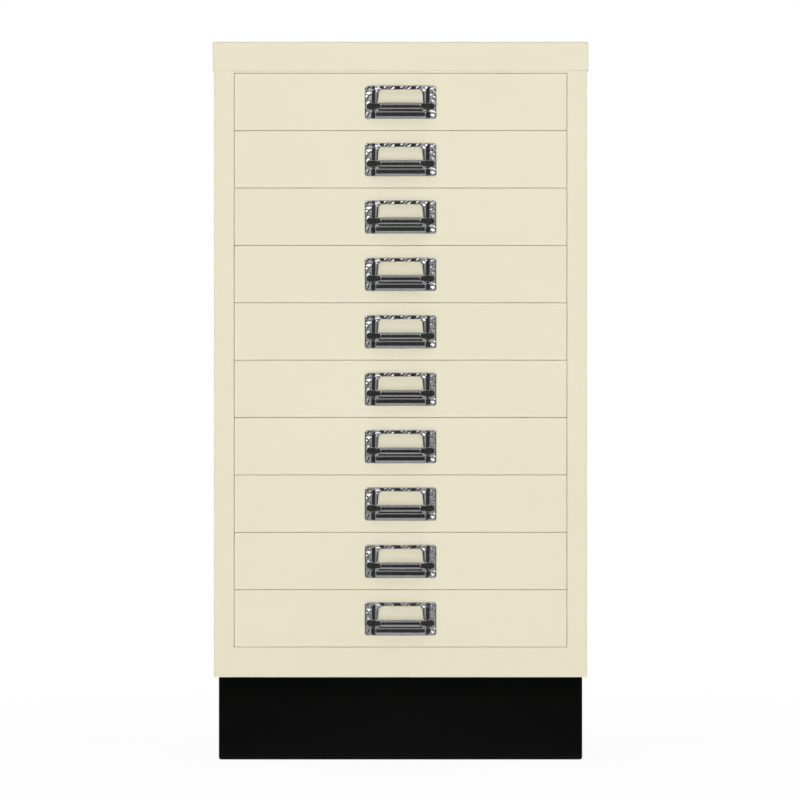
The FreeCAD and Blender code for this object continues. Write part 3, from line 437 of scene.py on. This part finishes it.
def pull_profile(height, top_share, bottom_share):
    """Points round the strip's section: outwards and up, from the front's middle over the top."""
    top, bottom, half, steps = top_share * height, bottom_share * height, PULL_THICKNESS / 2, 12
    points = [(half, z) for z in flat_points(bottom - height / 2, height / 2 - top)]
    for step in range(steps + 1):
        turn = math.pi * step / steps
        points.append((half * math.cos(turn), height / 2 - top + top * math.sin(turn)))
    points += [(-half, z) for z in reversed(flat_points(bottom - height / 2, height / 2 - top))]
    for step in range(steps + 1):
        turn = math.pi + math.pi * step / steps
        points.append((half * math.cos(turn), bottom - height / 2 + bottom * math.sin(turn)))
    return points


def add_pull(mesh):
    rows = []
    for (x, y), (nx, ny), *section in pull_stations():
        rows.append([
            mesh.verts.new(
                ((x + nx * out) * MM, min(y + ny * out, -0.1) * MM, (PULL_MIDDLE + up) * MM))
            for out, up in pull_profile(*section)
        ])
    join_rings(mesh, rows)
    mesh.faces.new(rows[0][::-1])
    mesh.faces.new(rows[-1])


def add_prongs(mesh):
    """Two flat prongs with tapered tips, which pass through the drawer front to their clips."""
    half = PRONG_WIDTH / 2
    levels = ((-0.5 * SHEET, half), (PRONG_END - 1.0, half), (PRONG_END, half - 0.8))
    for side in (-1.0, 1.0):
        rows = [
            [mesh.verts.new(((side * PRONG_PLACE + dx) * MM, y * MM, (PRONG_RISE + dz) * MM))
             for dx, dz in ((-0.45, -up), (0.45, -up), (0.45, up), (-0.45, up))]
            for y, up in levels
        ]
        for row, following in zip(rows, rows[1:]):
            for i in range(4):
                j = (i + 1) % 4
                mesh.faces.new([row[i], following[i], following[j], row[j]])
        mesh.faces.new(rows[0])
        mesh.faces.new(rows[-1][::-1])


def make_pull_mesh():
    mesh = bmesh.new()
    add_plate(mesh)
    add_pull(mesh)
    add_prongs(mesh)
    data = finished_mesh(mesh, "pull")
    data.materials.append(FINISHES["chrome_plate"])
    data.materials.append(dull_plate_and_painted_shade())
    # Faces turned back towards the drawer take the dull plating, darkened as painted shade.
    for face in data.polygons:
        if face.normal.y > UNPOLISHED_AND_SHADED:
            face.material_index = 1
    data.shade_smooth()
    data.set_sharp_from_angle(angle=math.radians(55.0))
    return data


def fit_pulls():
    """One plated pull on each drawer, in the place of the plain solid."""
    data = make_pull_mesh()
    for node in sorted(name for name in frame["nodes"] if name.endswith("_handle")):
        drawer = node.rsplit("_", 1)[0]
        low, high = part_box(node)
        pull = new_object(drawer + "_pull", data)
        pull.location = (0.5 * (low.x + high.x), low.y + PULL_REACH * MM, 0.5 * (low.z + high.z))
        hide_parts(node)
        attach(pull, drawer)


def lid_ring(mesh, low, high, inset, height):
    """A rounded rectangle at one height, set in from the lid's outside by inset; in millimetres."""
    radius, ring = max(LID_RADIUS - inset, 0.05), []
    for sx, sy, start in ((1, 1, 0.0), (-1, 1, 90.0), (-1, -1, 180.0), (1, -1, 270.0)):
        x = (high.x if sx > 0 else low.x) / MM - sx * (inset + radius)
        y = (high.y if sy > 0 else low.y) / MM - sy * (inset + radius)
        for degrees in steps_between(start, start + 90.0, 8):
            turn = math.radians(degrees)
            ring.append(mesh.verts.new(
                ((x + radius * math.cos(turn)) * MM, (y + radius * math.sin(turn)) * MM, height * MM)))
    return ring


def fit_lid():
    """The lid with its skirt as one folded sheet, with a softly rounded lower edge."""
    low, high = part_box("top_cover")
    bottom, top = low.z / MM, high.z / MM
    turns = [math.radians(degrees) for degrees in steps_between(0.0, 90.0, 6)]
    profile = [(LID_RADIUS * (1.0 - math.sin(a)), top - LID_RADIUS * (1.0 - math.cos(a)))
               for a in turns]
    profile += [(HEM_RADIUS * (1.0 - math.cos(a)), bottom + HEM_RADIUS * (1.0 - math.sin(a)))
                for a in turns]
    profile += [(LID_SHEET, bottom), (LID_SHEET, bottom + 1.0), (LID_SHEET, top - LID_SHEET)]
    mesh = bmesh.new()
    rings = [lid_ring(mesh, low, high, inset, height) for inset, height in profile]
    join_rings(mesh, rings)
    mesh.faces.new(rings[0])
    mesh.faces.new(rings[-1][::-1])
    data = finished_mesh(mesh, "lid")
    data.materials.append(FINISHES["cream_paint"])
    data.shade_smooth()
    data.set_sharp_from_angle(angle=math.radians(40.0))
    lid = new_object("lid", data)
    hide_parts("top_cover")
    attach(lid, "cabinet")


def fill_rail_seams():
    """Paint and weld in the two grooves where the bottom rail meets the stiles' rounded folds."""
    low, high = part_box("bottom_front_rail")
    mesh = bmesh.new()
    width, inset = SEAM_HALF_WIDTH * MM, SEAM_INSET * MM
    front, rear = low.y + inset, low.y + SEAM_DEPTH * MM
    for x in (low.x, high.x):
        outline = ((x - width, rear), (x - width, front), (x + width, front), (x + width, rear))
        rings = [[mesh.verts.new((*corner, z)) for corner in outline]
                 for z in (low.z + inset, high.z - inset)]
        join_rings(mesh, rings)
        mesh.faces.new(rings[0][::-1])
        mesh.faces.new(rings[1])
    data = finished_mesh(mesh, "rail_seam_fill")
    data.materials.append(FINISHES["cream_paint"])
    fill = new_object("rail_seam_fill", data)
    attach(fill, "cabinet")


def light_path_mix(tree, seen, unseen):
    """Seen by camera, glossy and transmission rays: the first shader; by all others: the second."""
    path = tree.nodes.new("ShaderNodeLightPath")
    either = tree.nodes.new("ShaderNodeMath")
    either.operation = "MAXIMUM"
    link(tree, path.outputs["Is Camera Ray"], either.inputs[0])
    link(tree, path.outputs["Is Glossy Ray"], either.inputs[1])
    all_three = tree.nodes.new("ShaderNodeMath")
    all_three.operation = "MAXIMUM"
    link(tree, either.outputs[0], all_three.inputs[0])
    link(tree, path.outputs["Is Transmission Ray"], all_three.inputs[1])
    mix = tree.nodes.new("ShaderNodeMixShader")
    link(tree, all_three.outputs[0], mix.inputs["Fac"])
    link(tree, unseen, mix.inputs[1])
    link(tree, seen, mix.inputs[2])
    return mix.outputs["Shader"]


def card(name, rows, dark, light):
    """A glowing studio card made of a grid of points, which only mirrors show; its glow stands in for
    lit surroundings and lights nothing else.
    """
    material, tree, out = new_material(name + "_card")
    glow = tree.nodes.new("ShaderNodeEmission")
    folds = noise(tree, object_coordinates(tree), 0.9, 2.0)
    link(tree, ramp(tree, folds, [(0.35, (dark,) * 3), (0.65, (light,) * 3)]), glow.inputs["Color"])
    link(tree, glow.outputs[0], out.inputs["Surface"])
    mesh = bpy.data.meshes.new(name)
    across = len(rows[0])
    faces = [
        (r * across + i, r * across + i + 1, (r + 1) * across + i + 1, (r + 1) * across + i)
        for r in range(len(rows) - 1) for i in range(across - 1)
    ]
    mesh.from_pydata([point for row in rows for point in row], [], faces)
    mesh.materials.append(material)
    thing = new_object(name, mesh)
    for switch in ("visible_camera", "visible_diffuse", "visible_shadow", "visible_transmission"):
        setattr(thing, switch, False)


def dome_card(name, azimuths, heights, radius, dark, light):
    """Part of a dome in front of the cabinet, between two azimuths and two elevations in degrees."""
    rows = []
    for e in (math.radians(v) for v in steps_between(*heights, 8)):
        rows.append([
            (radius * math.sin(a) * math.cos(e), -0.2 - radius * math.cos(a) * math.cos(e),
             0.35 + radius * math.sin(e))
            for a in (math.radians(v) for v in steps_between(*azimuths, 24))
        ])
    card(name, rows, dark, light)


def floor_card(name, azimuths, distances, height, dark, light):
    """A glowing patch just above the floor in front of the cabinet, between two azimuths and two
    distances, which mirrors show in the floor's place.
    """
    rows = [
        [(r * math.sin(a), -0.2 - r * math.cos(a), height)
         for a in (math.radians(v) for v in steps_between(*azimuths, 24))]
        for r in distances
    ]
    card(name, rows, dark, light)


def make_cards():
    """Glowing cards for the plating to mirror: dark cloth round the front of the studio with grey
    screens and bright softboxes in it, each a glow rather than a lit surface.
    """
    dome_card("dark_wall", (-100.0, 100.0), (-3.0, 89.0), 8.0, 0.04, 0.08)
    dome_card("grey_ceiling", (-48.0, 48.0), (12.0, 89.0), 7.9, 0.42, 0.54)
    floor_card("dark_floor", (-100.0, 100.0), (0.0, 8.0), 0.002, 0.04, 0.08)
    floor_card("near_floor", (-45.0, 45.0), (0.0, 1.2), 0.004, 0.46, 0.58)
    for word, side in (("left", -1.0), ("right", 1.0)):
        dome_card(word + "_screen", (side * 7.0, side * 24.0), (-3.0, 12.0), 7.9, 0.42, 0.66)
        floor_card(word + "_floor", (side * 7.0, side * 24.0), (1.2, 8.0), 0.003, 0.42, 0.66)
        dome_card(word + "_softbox", (side * 7.0, side * 32.0), (9.0, 32.0), 7.8, 2.2, 2.6)


def make_world():
    world = bpy.data.worlds.new("studio")
    bpy.context.scene.world = world
    world.use_nodes = True
    tree = world.node_tree
    tree.nodes.clear()
    out = tree.nodes.new("ShaderNodeOutputWorld")
    shown = tree.nodes.new("ShaderNodeBackground")
    shown.inputs["Color"].default_value = (1.0, 1.0, 1.0, 1.0)
    shown.inputs["Strength"].default_value = 1.0
    light = tree.nodes.new("ShaderNodeBackground")
    light.inputs["Color"].default_value = (1.0, 1.0, 1.0, 1.0)
    light.inputs["Strength"].default_value = WORLD_LIGHT
    link(tree, light_path_mix(tree, shown.outputs[0], light.outputs[0]), out.inputs["Surface"])


def make_floor():
    """A pale floor that turns to the backdrop's white away from the cabinet, and keeps its shadow."""
    material, tree, out = new_material("studio_floor")
    diffuse = tree.nodes.new("ShaderNodeBsdfDiffuse")
    diffuse.inputs["Color"].default_value = (FLOOR_GREY, FLOOR_GREY, FLOOR_GREY, 1.0)
    glow = tree.nodes.new("ShaderNodeEmission")
    glow.inputs["Color"].default_value = (1.0, 1.0, 1.0, 1.0)
    glow.inputs["Strength"].default_value = 1.0
    length = tree.nodes.new("ShaderNodeVectorMath")
    length.operation = "LENGTH"
    link(tree, object_coordinates(tree), length.inputs[0])
    away = map_range(tree, length.outputs["Value"], 0.3, 1.6, 0.95, 1.0)
    blend = tree.nodes.new("ShaderNodeMixShader")
    link(tree, away, blend.inputs["Fac"])
    link(tree, diffuse.outputs[0], blend.inputs[1])
    link(tree, glow.outputs[0], blend.inputs[2])
    link(tree, light_path_mix(tree, blend.outputs[0], diffuse.outputs[0]), out.inputs["Surface"])
    mesh = bpy.data.meshes.new("floor")
    corners = [(x * FLOOR_HALF, y * FLOOR_HALF, 0.0) for x, y in ((-1, -1), (1, -1), (1, 1), (-1, 1))]
    mesh.from_pydata(corners, [], [(0, 1, 2, 3)])
    mesh.materials.append(material)
    new_object("floor", mesh)


def area_light(name, place, target, size, energy):
    """A soft light that neither the camera nor the plating sees: the plating has the cards."""
    data = bpy.data.lights.new(name, "AREA")
    data.shape = "RECTANGLE"
    data.size, data.size_y = size
    data.energy = energy
    lamp = new_object(name, data)
    lamp.location = place
    lamp.rotation_euler = (Vector(target) - Vector(place)).to_track_quat("-Z", "Y").to_euler()
    lamp.visible_camera = False
    lamp.visible_glossy = False


def make_camera():
    data = bpy.data.cameras.new("camera")
    data.sensor_width = SENSOR
    data.lens = SENSOR * CAMERA_DISTANCE / IMAGE_FIELD
    data.clip_end = 100.0
    camera = new_object("camera", data)
    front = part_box("left_side_panel")[0].y
    camera.location = (CAMERA_ACROSS, front - CAMERA_DISTANCE, CAMERA_HEIGHT)
    camera.rotation_euler = (math.radians(90.0), 0.0, 0.0)
    bpy.context.scene.camera = camera


fit_pulls()
fit_lid()
fill_rail_seams()
make_world()
make_floor()
make_cards()
make_camera()
area_light("key", *KEY_LIGHT)
area_light("top", *TOP_LIGHT)
area_light("left_fill", *LEFT_FILL)
area_light("right_fill", *RIGHT_FILL)
bpy.context.scene.view_settings.view_transform = "Standard"
